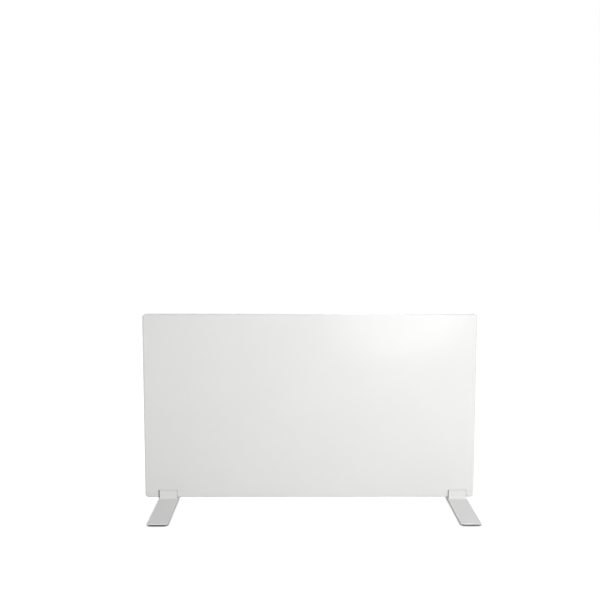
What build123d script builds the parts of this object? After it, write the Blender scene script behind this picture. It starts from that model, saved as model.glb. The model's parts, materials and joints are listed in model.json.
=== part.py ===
from build123d import *
import math
import os

# A free-standing infrared panel heater: a flat sheet-metal panel on two clip-on feet.
# The frame is in millimetres: +X along the panel's width, -Y is the side of the warm front face,
# +Z is up. The origin lies on the floor, under the middle of the panel.

# ---------------------------------------------------------------- driving sizes
# Panel body
PANEL_WIDTH = 905.0
PANEL_HEIGHT = 508.0
PANEL_THICKNESS = 22.0
CORNER_RADIUS = 9.0           # the four corners, seen from the front
FRONT_EDGE_RADIUS = 5.0       # the bend between the front face and the sides
PAN_SHEET = 1.0
FLANGE_WIDTH = 14.0           # return flange of the pan, which carries the back cover
FLANGE_CORNER_RADIUS = 6.0
COVER_SHEET = 1.0
COVER_INSET = 4.0             # the back cover stops this far inside the pan's outline
COVER_EDGE_RADIUS = 0.5
BEAD_WIDTH = 12.0             # pressed stiffening beads of the back cover
BEAD_LENGTH = 620.0
BEAD_HEIGHT = 1.0
BEAD_CREST_RADIUS = 0.9
BEAD_SPACING = 90.0
BEAD_COUNT = 3

# Heating element and insulation
FILM_MARGIN = 15.0            # from the panel's outline to the film's
FILM_THICKNESS = 0.4
FILM_CORNER_RADIUS = 6.0
TRACK_WIDTH = 14.0
TRACK_GAP = 10.0
TRACK_THICKNESS = 0.3
TRACK_EDGE = 10.0             # bare film beside the track
FOIL_THICKNESS = 0.3
TAB_FOOT = 9.0                # solder foot on each end of the track
TAB_POST = 5.6
TAB_WINDOW_ROOM = 0.4
INSULATION_GAP = 2.0          # between the board and the edge of the return flange
CHANNEL_ROOM = 3.5            # beside a lead in the board's channel
TAB_ROOM = 7.0                # beside the solder posts
INSERT_ROOM = 1.8             # beside the bulge of an insert, on its diameter
BOX_SCREW_ROOM = 7.0          # beside the tips of the box's screws

# Feet
FOOT_INSET = 55.0             # from the panel's sides to the middle of the feet's slots
FOOT_SHIFT = 9.0              # both feet are pushed this far along their slots
PLATE_LENGTH = 410.0
PLATE_WIDTH = 52.0
PLATE_THICKNESS = 3.0
PLATE_CORNER_RADIUS = 9.0
PLATE_TOP_RADIUS = 1.2
PLATE_LOW_RADIUS = 0.6
PAD_HEIGHT = 4.0
PAD_LENGTH = 34.0
PAD_INSET = 5.0               # from the plate's sides and ends
PAD_CORNER_RADIUS = 4.0
SADDLE_WIDTH = 48.0
SADDLE_SHEET = 2.0
SADDLE_BEND = 1.2             # inside radius of the bends
LIP_HEIGHT = 24.0             # front lip above the foot plate
TONGUE_HEIGHT = 50.0          # rear tongue above the foot plate
LIP_CORNER_RADIUS = 2.0
LINER_THICKNESS = 1.0
LINER_SETBACK = 2.0           # the liner ends this far below the lip
LINER_SIDE = 0.5              # and this far inside the saddle's sides
LINER_BEND_ROOM = 0.3
SLOT_LENGTH = 30.0
SLOT_WIDTH = 5.5
SLOT_SPACING = 13.0           # one slot above the other
SLOT_HEIGHT = 29.0            # the lower slot above the foot plate
SADDLE_SCREW_SPACING = 24.0

# Screws and threaded inserts
INSERT_BORE = 5.0
INSERT_SHANK = 7.0
INSERT_HEAD = 9.0
INSERT_LENGTH = 12.0
INSERT_BULGE = 9.6
INSERT_BULGE_LENGTH = 2.0
THREAD_GAP = 0.05             # radial play of a screw in its thread
WALL_INSET_X = 202.5          # inserts for a wall bracket, from the panel's sides
WALL_SPACING_Z = 340.0
FOOT_SCREW_HEAD = 9.5
FOOT_SCREW_HEAD_HEIGHT = 3.4
FOOT_SCREW_LENGTH = 12.0
WASHER_DIAMETER = 10.0
WASHER_THICKNESS = 1.0
WASHER_GAP = 0.2
COVER_SCREW = 3.1
COVER_SCREW_HEAD = 7.0
COVER_SCREW_HEAD_HEIGHT = 2.2
COVER_SCREW_LENGTH = 6.0
COVER_SCREW_EDGE = 8.0        # from the panel's outline
COVER_SCREWS_ACROSS = 5
COVER_SCREWS_UP = 4
SADDLE_SCREW = 4.0
SADDLE_SCREW_HEAD = 7.6
SOCKET_WIDTH = 2.5
SOCKET_DEPTH = 1.4
SCREW_DOME = 0.55             # rounded share of a pan head's height
RECESS_DEPTH = 0.55           # a cross recess as shares of the head's height
RECESS_WIDTH = 0.16           # and of its diameter
RECESS_REACH = 0.3

# Connection box on the back
BOX_FROM_SIDE = 102.5         # box middle from the panel's right side
BOX_ABOVE_BOTTOM = 120.0      # box middle above the panel's lower edge
BOX_WIDTH = 120.0
BOX_HEIGHT = 80.0
BOX_DEPTH = 28.0
BOX_WALL = 2.0
BOX_CORNER_RADIUS = 5.0
BOX_EDGE_RADIUS = 1.5
LID_LIP = 2.0                 # depth of the lid's rib inside the base
LID_LIP_SHEET = 1.5
LID_GAP = 0.2
BOSS_DIAMETER = 7.0
BOSS_INSET = 5.0
LID_SCREW = 2.6
LID_SCREW_HEAD = 5.4
LID_SCREW_HEAD_HEIGHT = 1.8
LID_SCREW_LENGTH = 10.0
BOX_SCREW_SPACING_X = 76.0
BOX_SCREW_SPACING_Z = 64.0
BOX_SCREW_LENGTH = 5.0

# Terminal block
POLE_COUNT = 3
POLE_PITCH = 11.0
BLOCK_HEIGHT = 18.0
BLOCK_DEPTH = 15.0
BLOCK_FROM_SIDE = 30.0        # block middle from the box's left side
BARREL_DIAMETER = 6.0
BARREL_BORE = 3.4
BARREL_DEPTH = 8.0            # barrel axis above the block's foot
LEAD_IN_BARREL = 6.0          # length of a lead inside its barrel
CLAMP_SCREW = 3.0
CLAMP_SCREW_SPACING = 9.0
CLAMP_WELL_ROOM = 0.6
CLAMP_SLOT = 0.6

# Cable gland
GLAND_FROM_SIDE = 30.0        # gland middle from the box's left side
GLAND_THREAD = 16.0
GLAND_HEX = 19.0
GLAND_COLLAR = 5.0
GLAND_STUB = 7.0              # thread under the collar, inside the cap nut
GLAND_END = 0.5               # thread past the locknut
GLAND_BORE = 10.5
CABLE_BORE = 8.0
CAP_NUT_LENGTH = 15.0
CAP_NUT_MOUTH = 9.4
CAP_NUT_WALL = 2.0
CAP_NUT_DOME_RADIUS = 3.2
CAP_NUT_HEX = 7.0              # length of its flats
SEAL_DIAMETER = 13.0
SEAL_LENGTH = 10.0
LOCKNUT_THICKNESS = 4.0

# Rocker switch in the side wall of the box
SWITCH_HEIGHT = 21.0
SWITCH_WIDTH = 15.0
SWITCH_RIM = 2.0
SWITCH_RIM_RADIUS = 0.7
SWITCH_BODY_HEIGHT = 19.0
SWITCH_BODY_WIDTH = 13.0
SWITCH_BODY_DEPTH = 15.0
SWITCH_CUTOUT_GAP = 0.1
ROCKER_RADIUS = 8.1
ROCKER_WIDTH = 10.4
ROCKER_GAP = 0.3
ROCKER_TILT = 11.0            # to each side of the middle, in degrees
ROCKER_DEPTH = 3.2            # below the pivot
ROCKER_PIVOT_DEPTH = 3.0      # pivot below the rim's face
ROCKER_VALLEY = 3.2           # the middle of the rocker above its pivot
PIVOT_DIAMETER = 2.0
PIVOT_LENGTH = 0.8
PIVOT_GAP = 0.05
MARK_DEPTH = 0.25
MARK_SIZE = 3.0
MARK_LINE = 0.6
MARK_PLACE = 0.42             # of the rocker's radius, from its middle
BLADE_LENGTH = 9.0
BLADE_WIDTH = 4.8
BLADE_THICKNESS = 0.8
BLADE_SPACING = 9.0
BLADE_ROOT = 3.0              # length held in a housing

# Limiters on the element
LIMITER_DIAMETER = 16.0
LIMITER_CAP_HEIGHT = 3.0
LIMITER_CAP_RADIUS = 0.7
LIMITER_BODY_DIAMETER = 15.0
LIMITER_BODY_HEIGHT = 7.0
LIMITER_BODY_RADIUS = 0.7
LIMITER_FROM_BOX = 170.0      # the first limiter from the box middle
LIMITER_PITCH = 100.0
LIMITER_TAB_REACH = 16.0
LIMITER_ROOM = 2.0

# Wiring
LEAD_DIAMETER = 2.4
LEAD_BEND = 5.0
LIVE_RISE = 14.0              # of a lead's level run above the terminal block
NEUTRAL_RISE = 8.0
EARTH_RISE = 4.8
NEUTRAL_PASS = 4.8            # the neutral lead's middle above the limiters' pocket
RECEPTACLE_LENGTH = 7.0
RECEPTACLE_SHEET = 0.8
GROMMET_FROM_SIDE = 46.0      # grommet middle from the box's right side
GROMMET_BORE = 12.0
GROMMET_LEAD_SPACING = 6.0    # between the two leads in the grommet
GROMMET_HOLE = 16.0
GROMMET_FLANGE = 20.0
GROMMET_LIP = 1.0
EARTH_FROM_SIDE = 54.0        # earth screw from the box's left side
EARTH_ABOVE_BOTTOM = 15.0     # and from its lower side
EARTH_SCREW = 4.0
EARTH_SCREW_HEAD = 8.0
EARTH_RING_SHEET = 0.8
EARTH_BARREL = 4.0
EARTH_BARREL_START = 4.5      # above the screw's middle
EARTH_LEAD_END = 7.0
EARTH_LEAD_RISE = 2.2         # the lead's middle above the back cover
EARTH_LEAD_STRAIGHT = 4.0     # before the lead turns away from the cover
EARTH_LEAD_SLOPE = 5.0
EARTH_WINDOW_ROOM = 2.0

# ---------------------------------------------------------------- derived places
FRONT_Y = -PANEL_THICKNESS / 2
BACK_Y = PANEL_THICKNESS / 2
COVER_Y = BACK_Y - COVER_SHEET                 # where the back cover meets the return flange
PLATE_TOP = PAD_HEIGHT + PLATE_THICKNESS
PANEL_BOTTOM = PLATE_TOP + SADDLE_SHEET + LINER_THICKNESS
PANEL_MIDDLE = PANEL_BOTTOM + PANEL_HEIGHT / 2
FOOT_SPACING = PANEL_WIDTH - 2 * FOOT_INSET
FOOT_XS = {"left": -FOOT_SPACING / 2 + FOOT_SHIFT, "right": FOOT_SPACING / 2 + FOOT_SHIFT}

FILM_FRONT = FRONT_Y + PAN_SHEET
TRACK_FRONT = FILM_FRONT + FILM_THICKNESS
TRACK_BACK = TRACK_FRONT + TRACK_THICKNESS
COVER_FILM_BACK = TRACK_BACK + FILM_THICKNESS
FOIL_BACK = COVER_FILM_BACK + FOIL_THICKNESS

FILM_WIDTH = PANEL_WIDTH - 2 * FILM_MARGIN
FILM_HEIGHT = PANEL_HEIGHT - 2 * FILM_MARGIN
TRACK_PITCH = TRACK_WIDTH + TRACK_GAP
TRACK_ROWS = 2 * int((FILM_HEIGHT - 2 * TRACK_EDGE + TRACK_GAP) / TRACK_PITCH / 2)
TRACK_SPAN = FILM_WIDTH - 2 * TRACK_EDGE
TRACK_RISE = TRACK_ROWS * TRACK_PITCH - TRACK_GAP
TRACK_BOTTOM = PANEL_MIDDLE - TRACK_RISE / 2
TAB_X = (TRACK_GAP + TRACK_WIDTH) / 2          # the element's two ends, each side of the middle
TAB_Z = TRACK_BOTTOM + TRACK_WIDTH / 2

BOX_X = PANEL_WIDTH / 2 - BOX_FROM_SIDE
BOX_Z = PANEL_BOTTOM + BOX_ABOVE_BOTTOM
BOX_LEFT = BOX_X - BOX_WIDTH / 2
BOX_RIGHT = BOX_X + BOX_WIDTH / 2
BOX_FLOOR = BACK_Y + BOX_WALL
BOX_LID_Y = BACK_Y + BOX_DEPTH - BOX_WALL
BOX_BOTTOM = BOX_Z - BOX_HEIGHT / 2
BOX_MIDDLE_Y = (BOX_FLOOR + BOX_LID_Y) / 2

GROMMET_AT_X = BOX_RIGHT - GROMMET_FROM_SIDE
GROMMET_AT_Z = BOX_Z - BLADE_SPACING / 4       # between the two leads that pass it
BLOCK_MIDDLE_X = BOX_LEFT + BLOCK_FROM_SIDE
BARREL_Y = BOX_FLOOR + BARREL_DEPTH
BLOCK_TOP = BOX_Z + BLOCK_HEIGHT / 2
BLOCK_WIDTH = POLE_COUNT * POLE_PITCH
POLE_XS = [BLOCK_MIDDLE_X + (i - (POLE_COUNT - 1) / 2) * POLE_PITCH for i in range(POLE_COUNT)]
GLAND_AT_X = BOX_LEFT + GLAND_FROM_SIDE

ROCKER_PIVOT_X = BOX_RIGHT + SWITCH_RIM - ROCKER_PIVOT_DEPTH
BLADE_TIP_X = BOX_RIGHT - SWITCH_BODY_DEPTH - BLADE_LENGTH
BLADE_ZS = [BOX_Z + BLADE_SPACING / 2, BOX_Z - BLADE_SPACING / 2]

LIMITER_Z = BLADE_ZS[1]
LIMITER_XS = [BOX_X - LIMITER_FROM_BOX, BOX_X - LIMITER_FROM_BOX - LIMITER_PITCH]
LEAD_Y = COVER_FILM_BACK + LIMITER_CAP_HEIGHT + LIMITER_BODY_HEIGHT / 2

WALL_POINTS = [
    (sx * (PANEL_WIDTH / 2 - WALL_INSET_X), PANEL_MIDDLE + sz * WALL_SPACING_Z / 2)
    for sx in (-1, 1) for sz in (-1, 1)
]
FOOT_SCREW_Z = PLATE_TOP + SLOT_HEIGHT
FOOT_SCREW_POINTS = [
    (side * FOOT_SPACING / 2, FOOT_SCREW_Z + level * SLOT_SPACING)
    for side in (-1, 1) for level in (0, 1)
]
BOX_SCREW_POINTS = [
    (BOX_X + sx * BOX_SCREW_SPACING_X / 2, BOX_Z + sz * BOX_SCREW_SPACING_Z / 2)
    for sx in (-1, 1) for sz in (-1, 1)
]
BOSS_POINTS = [
    (BOX_X + sx * (BOX_WIDTH / 2 - BOSS_INSET), BOX_Z + sz * (BOX_HEIGHT / 2 - BOSS_INSET))
    for sx in (-1, 1) for sz in (-1, 1)
]
EARTH_POINT = (BOX_LEFT + EARTH_FROM_SIDE, BOX_BOTTOM + EARTH_ABOVE_BOTTOM)


def cover_screw_points():
    """Places of the screws round the edge of the back cover, each once."""
    half_x = PANEL_WIDTH / 2 - COVER_SCREW_EDGE
    half_z = PANEL_HEIGHT / 2 - COVER_SCREW_EDGE
    points = []
    for i in range(COVER_SCREWS_ACROSS):
        x = half_x * (2 * i / (COVER_SCREWS_ACROSS - 1) - 1)
        points += [(x, PANEL_MIDDLE - half_z), (x, PANEL_MIDDLE + half_z)]
    for i in range(1, COVER_SCREWS_UP - 1):
        z = PANEL_MIDDLE + half_z * (2 * i / (COVER_SCREWS_UP - 1) - 1)
        points += [(-half_x, z), (half_x, z)]
    return points


# ---------------------------------------------------------------- small builders
def face_plane(y, x=0.0, z=0.0):
    """A sketch plane that faces +Y, with its own X along the row's."""
    return Plane(origin=(x, y, z), x_dir=(1, 0, 0), z_dir=(0, 1, 0))


def slab(width, height, radius, y0, y1, x=0.0, z=0.0):
    """A rounded rectangle, seen from the front, from y0 back to y1."""
    return extrude(face_plane(y0, x, z) * RectangleRounded(width, height, radius), amount=y1 - y0)


def block(x0, x1, y0, y1, z0, z1):
    """A plain box between two corners."""
    middle = ((x0 + x1) / 2, (y0 + y1) / 2, (z0 + z1) / 2)
    return Pos(*middle) * Box(x1 - x0, y1 - y0, z1 - z0)


def rod(diameter, y0, y1, x, z):
    """A cylinder along Y."""
    return extrude(face_plane(y0, x, z) * Circle(diameter / 2), amount=y1 - y0)


def post(diameter, z0, z1, x, y):
    """A cylinder along Z."""
    return extrude(Plane(origin=(x, y, z0)) * Circle(diameter / 2), amount=z1 - z0)


def hex_post(across_flats, z0, z1, x, y):
    """A hexagonal prism along Z, with two flats facing along Y."""
    corner_radius = across_flats / math.sqrt(3)
    shape = RegularPolygon(corner_radius, 6)
    return extrude(Plane(origin=(x, y, z0)) * shape, amount=z1 - z0)


def slot_y(length, width, y0, y1, x, z):
    """A round-ended slot along X, cut through in Y."""
    return extrude(face_plane(y0, x, z) * SlotOverall(length, width), amount=y1 - y0)


def pan_screw(diameter, head, head_height, length, y, x, z):
    """A pan-head screw seen from the back: its head stands on y and its shank runs forward."""
    dome = rod(head, y, y + head_height, x, z)
    dome = fillet(dome.faces().sort_by(Axis.Y)[-1].edges(), head_height * SCREW_DOME)
    top = y + head_height
    floor = top - head_height * RECESS_DEPTH
    reach = head * RECESS_REACH
    half = head * RECESS_WIDTH / 2
    cross = block(x - reach, x + reach, floor, top, z - half, z + half)
    cross += block(x - half, x + half, floor, top, z - reach, z + reach)
    return dome - cross + rod(diameter, y - length, y, x, z)


def lead(points, bend=LEAD_BEND):
    """A round wire through the points, with tangent arcs at its corners."""
    path = FilletPolyline(*points, radius=bend) if len(points) > 2 else Polyline(*points)
    return sweep(Plane(origin=path @ 0, z_dir=path % 0) * Circle(LEAD_DIAMETER / 2), path=path)


# ---------------------------------------------------------------- the panel
def front_panel():
    """The warm front face with its four sides and the return flange, one folded sheet."""
    outer = slab(PANEL_WIDTH, PANEL_HEIGHT, CORNER_RADIUS, FRONT_Y, COVER_Y, z=PANEL_MIDDLE)
    outer = fillet(outer.faces().sort_by(Axis.Y)[0].edges(), FRONT_EDGE_RADIUS)
    hollow = slab(
        PANEL_WIDTH - 2 * PAN_SHEET, PANEL_HEIGHT - 2 * PAN_SHEET, CORNER_RADIUS - PAN_SHEET,
        FRONT_Y + PAN_SHEET, COVER_Y - PAN_SHEET, z=PANEL_MIDDLE)
    hollow = fillet(hollow.faces().sort_by(Axis.Y)[0].edges(), FRONT_EDGE_RADIUS - PAN_SHEET)
    mouth = slab(
        PANEL_WIDTH - 2 * FLANGE_WIDTH, PANEL_HEIGHT - 2 * FLANGE_WIDTH, FLANGE_CORNER_RADIUS,
        0, COVER_Y, z=PANEL_MIDDLE)
    holes = [rod(COVER_SCREW + 2 * THREAD_GAP, 0, COVER_Y, x, z) for x, z in cover_screw_points()]
    return outer - hollow - mouth - holes


def back_cover():
    """The flat back sheet with its pressed beads and all its holes."""
    sheet = slab(
        PANEL_WIDTH - 2 * COVER_INSET, PANEL_HEIGHT - 2 * COVER_INSET, CORNER_RADIUS - COVER_INSET,
        COVER_Y, BACK_Y, z=PANEL_MIDDLE)
    sheet = fillet(sheet.faces().sort_by(Axis.Y)[-1].edges(), COVER_EDGE_RADIUS)
    for i in range(BEAD_COUNT):
        z = PANEL_MIDDLE + (i - (BEAD_COUNT - 1) / 2) * BEAD_SPACING + BEAD_SPACING / 2
        crest = slot_y(BEAD_LENGTH, BEAD_WIDTH, BACK_Y, BACK_Y + BEAD_HEIGHT, 0, z)
        crest = fillet(crest.faces().sort_by(Axis.Y)[-1].edges(), BEAD_CREST_RADIUS)
        furrow = slot_y(
            BEAD_LENGTH - 2 * COVER_SHEET, BEAD_WIDTH - 2 * COVER_SHEET,
            COVER_Y, COVER_Y + BEAD_HEIGHT, 0, z)
        sheet = sheet + crest - furrow
    reach = (COVER_Y, BACK_Y)
    holes = [rod(COVER_SCREW + 2 * THREAD_GAP, *reach, x, z) for x, z in cover_screw_points()]
    holes += [rod(INSERT_SHANK + 2 * THREAD_GAP, *reach, x, z) for x, z in WALL_POINTS + FOOT_SCREW_POINTS]
    holes += [rod(COVER_SCREW + 2 * THREAD_GAP, *reach, x, z) for x, z in BOX_SCREW_POINTS]
    holes.append(rod(GROMMET_HOLE + 2 * THREAD_GAP, *reach, GROMMET_AT_X, GROMMET_AT_Z))
    holes.append(rod(EARTH_SCREW + 2 * THREAD_GAP, *reach, *EARTH_POINT))
    return sheet - holes


def back_cover_screws():
    """Self-tapping screws that hold the back cover on the return flange."""
    return [
        pan_screw(COVER_SCREW, COVER_SCREW_HEAD, COVER_SCREW_HEAD_HEIGHT, COVER_SCREW_LENGTH, BACK_Y, x, z)
        for x, z in cover_screw_points()
    ]


def insert(x, z):
    """A blind-riveted threaded insert in the back cover."""
    body = rod(INSERT_SHANK, BACK_Y + LINER_THICKNESS - INSERT_LENGTH, BACK_Y, x, z)
    body += rod(INSERT_BULGE, COVER_Y - INSERT_BULGE_LENGTH, COVER_Y, x, z)
    body += rod(INSERT_HEAD, BACK_Y, BACK_Y + LINER_THICKNESS, x, z)
    return body - rod(INSERT_BORE, FRONT_Y, BACK_Y + LINER_THICKNESS, x, z)


# ---------------------------------------------------------------- the heating element
TAB_WINDOWS = [(TAB_FOOT + TAB_WINDOW_ROOM, side * TAB_X, TAB_Z) for side in (-1, 1)]
LIMITER_WINDOWS = [(LIMITER_DIAMETER + TAB_WINDOW_ROOM, x, LIMITER_Z) for x in LIMITER_XS]


def film(y0, y1, windows=()):
    """One film or foil of the element, as large as the laminate, with round windows cut in it."""
    sheet = slab(FILM_WIDTH, FILM_HEIGHT, FILM_CORNER_RADIUS, y0, y1, z=PANEL_MIDDLE)
    return sheet - [rod(width, y0, y1, x, z) for width, x, z in windows]


def heating_track():
    """The resistance track: it climbs one half in level runs and comes down the other."""
    top = TRACK_BOTTOM + TRACK_RISE
    half = TRACK_SPAN / 2
    reach = (TRACK_FRONT, TRACK_BACK)
    sheet = block(-half, half, *reach, TRACK_BOTTOM, top)
    cuts = [block(-TRACK_GAP / 2, TRACK_GAP / 2, *reach, TRACK_BOTTOM, top - TRACK_WIDTH)]
    for row in range(1, TRACK_ROWS):
        z0 = TRACK_BOTTOM + row * TRACK_PITCH - TRACK_GAP
        open_at_middle = row % 2 == 1
        near = 0 if open_at_middle else TRACK_GAP / 2 + TRACK_WIDTH
        far = half - TRACK_WIDTH if open_at_middle else half
        cuts.append(block(near, far, *reach, z0, z0 + TRACK_GAP))
        cuts.append(block(-far, -near, *reach, z0, z0 + TRACK_GAP))
    return sheet - cuts


def element_tabs():
    """Solder posts on the two ends of the track, up to the level of the leads."""
    tabs = []
    for side in (-1, 1):
        x = side * TAB_X
        foot = rod(TAB_FOOT, TRACK_BACK, FOIL_BACK, x, TAB_Z)
        stem = block(
            x - TAB_POST / 2, x + TAB_POST / 2, FOIL_BACK, LEAD_Y + LEAD_DIAMETER,
            TAB_Z - TAB_POST / 2, TAB_Z + TAB_POST / 2)
        tabs.append(foot + stem)
    return tabs


def insulation_board():
    """The fibre board behind the element, with a channel for the leads and room for what is fixed in it."""
    margin = FLANGE_WIDTH + INSULATION_GAP
    board = slab(
        PANEL_WIDTH - 2 * margin, PANEL_HEIGHT - 2 * margin, FLANGE_CORNER_RADIUS,
        FOIL_BACK, COVER_Y, z=PANEL_MIDDLE)
    channel_back = LEAD_Y + LIMITER_BODY_HEIGHT / 2 + LIMITER_ROOM
    half = LIMITER_DIAMETER / 2 + LIMITER_ROOM
    return board - [
        block(-TAB_X - TAB_ROOM, GROMMET_AT_X + half + CHANNEL_ROOM, FOIL_BACK, channel_back,
              LIMITER_Z - half, NEUTRAL_Z + CHANNEL_ROOM),
        block(-TAB_X - TAB_ROOM, TAB_X + TAB_ROOM, FOIL_BACK, channel_back, TAB_Z - TAB_ROOM, LIMITER_Z),
        slab(BOX_SCREW_SPACING_X + 2 * BOX_SCREW_ROOM, BOX_SCREW_SPACING_Z + 2 * BOX_SCREW_ROOM,
             BOX_SCREW_ROOM / 2, COVER_Y - BOX_SCREW_LENGTH - CHANNEL_ROOM, COVER_Y, x=BOX_X, z=BOX_Z),
        *[rod(INSERT_BULGE + INSERT_ROOM, BACK_Y - INSERT_LENGTH - INSERT_ROOM, COVER_Y, x, z)
          for x, z in WALL_POINTS + FOOT_SCREW_POINTS],
    ]


# ---------------------------------------------------------------- the limiters and the wiring
NEUTRAL_Z = LIMITER_Z + LIMITER_DIAMETER / 2 + LIMITER_ROOM + NEUTRAL_PASS


def limiter_cap(x):
    """The aluminium sensing cap, pressed on the element."""
    cap = rod(LIMITER_DIAMETER, COVER_FILM_BACK, COVER_FILM_BACK + LIMITER_CAP_HEIGHT, x, LIMITER_Z)
    return fillet(cap.faces().sort_by(Axis.Y)[0].edges(), LIMITER_CAP_RADIUS)


def limiter_tabs(x):
    """The two flat terminals of a limiter, one to each side."""
    reach = LIMITER_BODY_DIAMETER / 2 - BLADE_ROOT
    return [
        block(*sorted((x + side * reach, x + side * LIMITER_TAB_REACH)),
              LEAD_Y - BLADE_THICKNESS / 2, LEAD_Y + BLADE_THICKNESS / 2,
              LIMITER_Z - BLADE_WIDTH / 2, LIMITER_Z + BLADE_WIDTH / 2)
        for side in (-1, 1)
    ]


def limiter_body(x):
    """The moulded switch body behind the cap."""
    front = COVER_FILM_BACK + LIMITER_CAP_HEIGHT
    body = rod(LIMITER_BODY_DIAMETER, front, front + LIMITER_BODY_HEIGHT, x, LIMITER_Z)
    body = fillet(body.faces().sort_by(Axis.Y)[-1].edges(), LIMITER_BODY_RADIUS)
    return body - limiter_tabs(x)


def lead_runs():
    """The six leads, by name, each as the points of its route."""
    first, second = LIMITER_XS
    pole_end = BLOCK_TOP - LEAD_IN_BARREL
    live_x, neutral_x, earth_x = POLE_XS
    level_live = BLOCK_TOP + LIVE_RISE
    level_neutral = BLOCK_TOP + NEUTRAL_RISE
    level_earth = BLOCK_TOP + EARTH_RISE
    drop_x = GROMMET_AT_X - GROMMET_LEAD_SPACING / 2
    through_x = GROMMET_AT_X + GROMMET_LEAD_SPACING / 2
    tab_end = TAB_Z + TAB_POST / 2
    earth_end = EARTH_POINT[1] + EARTH_LEAD_END
    earth_y = BACK_Y + EARTH_LEAD_RISE
    return {
        "lead_live_in": [
            (live_x, BARREL_Y, pole_end), (live_x, BARREL_Y, level_live),
            (drop_x, BOX_MIDDLE_Y, level_live), (drop_x, BOX_MIDDLE_Y, BLADE_ZS[0]),
            (BLADE_TIP_X, BOX_MIDDLE_Y, BLADE_ZS[0])],
        "lead_neutral": [
            (neutral_x, BARREL_Y, pole_end), (neutral_x, BARREL_Y, level_neutral),
            (drop_x, BARREL_Y - LEAD_DIAMETER, level_neutral), (drop_x, BARREL_Y - LEAD_DIAMETER, BOX_Z),
            (drop_x, LEAD_Y, BOX_Z), (drop_x, LEAD_Y, NEUTRAL_Z),
            (-TAB_X, LEAD_Y, NEUTRAL_Z), (-TAB_X, LEAD_Y, tab_end)],
        "lead_switched": [
            (BLADE_TIP_X, BOX_MIDDLE_Y, BLADE_ZS[1]), (through_x, BOX_MIDDLE_Y, BLADE_ZS[1]),
            (through_x, LEAD_Y, BLADE_ZS[1]), (first + LIMITER_TAB_REACH, LEAD_Y, LIMITER_Z)],
        "lead_link": [
            (first - LIMITER_TAB_REACH, LEAD_Y, LIMITER_Z), (second + LIMITER_TAB_REACH, LEAD_Y, LIMITER_Z)],
        "lead_heater_live": [
            (second - LIMITER_TAB_REACH, LEAD_Y, LIMITER_Z),
            (TAB_X, LEAD_Y, LIMITER_Z),
            (TAB_X, LEAD_Y, tab_end)],
        "lead_earth": [
            (earth_x, BARREL_Y, pole_end), (earth_x, BARREL_Y, level_earth),
            (EARTH_POINT[0], BARREL_Y, level_earth),
            (EARTH_POINT[0], BARREL_Y, earth_end + EARTH_LEAD_STRAIGHT + EARTH_LEAD_SLOPE),
            (EARTH_POINT[0], earth_y, earth_end + EARTH_LEAD_STRAIGHT),
            (EARTH_POINT[0], earth_y, earth_end)],
    }


def receptacle(tip_x, inward, y, z, thin_axis):
    """A push-on sleeve on the last stretch of a flat terminal. Its lead meets the terminal's tip."""
    root_x = tip_x + inward * RECEPTACLE_LENGTH
    x0, x1 = sorted((tip_x, root_x))
    halves = {"y": (BLADE_THICKNESS / 2, BLADE_WIDTH / 2), "z": (BLADE_WIDTH / 2, BLADE_THICKNESS / 2)}
    half_y, half_z = halves[thin_axis]
    sheet = RECEPTACLE_SHEET
    sleeve = block(x0, x1, y - half_y - sheet, y + half_y + sheet, z - half_z - sheet, z + half_z + sheet)
    return sleeve - block(x0, x1, y - half_y, y + half_y, z - half_z, z + half_z)


def receptacles():
    """The sleeves on the switch's blades and on the limiters' tabs."""
    sleeves = [receptacle(BLADE_TIP_X, 1, BOX_MIDDLE_Y, z, "z") for z in BLADE_ZS]
    for x in LIMITER_XS:
        for side in (-1, 1):
            sleeves.append(receptacle(x + side * LIMITER_TAB_REACH, -side, LEAD_Y, LIMITER_Z, "y"))
    return sleeves


def cable_grommet():
    """The flanged bush that takes the leads through the box floor and the back cover."""
    place = (GROMMET_AT_X, GROMMET_AT_Z)
    bush = rod(GROMMET_FLANGE, COVER_Y - GROMMET_LIP, COVER_Y, *place)
    bush += rod(GROMMET_HOLE, COVER_Y, BOX_FLOOR, *place)
    bush += rod(GROMMET_FLANGE, BOX_FLOOR, BOX_FLOOR + GROMMET_LIP, *place)
    return bush - rod(GROMMET_BORE, COVER_Y - GROMMET_LIP, BOX_FLOOR + GROMMET_LIP, *place)


def earth_ring():
    """The ring terminal of the earth lead, flat on the back cover."""
    x, z = EARTH_POINT
    top = BACK_Y + EARTH_RING_SHEET
    lead_y = BACK_Y + EARTH_LEAD_RISE
    barrel_z = z + EARTH_BARREL_START
    sheet = EARTH_RING_SHEET
    ring = rod(EARTH_SCREW_HEAD + 2 * sheet, BACK_Y, top, x, z)
    ring += block(x - EARTH_SCREW / 2, x + EARTH_SCREW / 2, BACK_Y, top, z, barrel_z + sheet)
    ring += block(x - sheet, x + sheet, BACK_Y, lead_y, barrel_z, barrel_z + sheet)
    ring += post(EARTH_BARREL, barrel_z, z + EARTH_LEAD_END, x, lead_y)
    return ring - rod(EARTH_SCREW + 2 * THREAD_GAP, BACK_Y, lead_y, x, z)


def earth_screw():
    """The screw that holds the earth lead's ring on the back cover."""
    x, z = EARTH_POINT
    return pan_screw(
        EARTH_SCREW, EARTH_SCREW_HEAD, COVER_SCREW_HEAD_HEIGHT, COVER_SCREW_LENGTH,
        BACK_Y + EARTH_RING_SHEET, x, z)


# ---------------------------------------------------------------- the connection box
def box_slab(inset, y0, y1):
    """The box's rounded outline, moved in by an inset, from y0 back to y1."""
    return slab(
        BOX_WIDTH - 2 * inset, BOX_HEIGHT - 2 * inset, BOX_CORNER_RADIUS - inset, y0, y1, x=BOX_X, z=BOX_Z)


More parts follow.
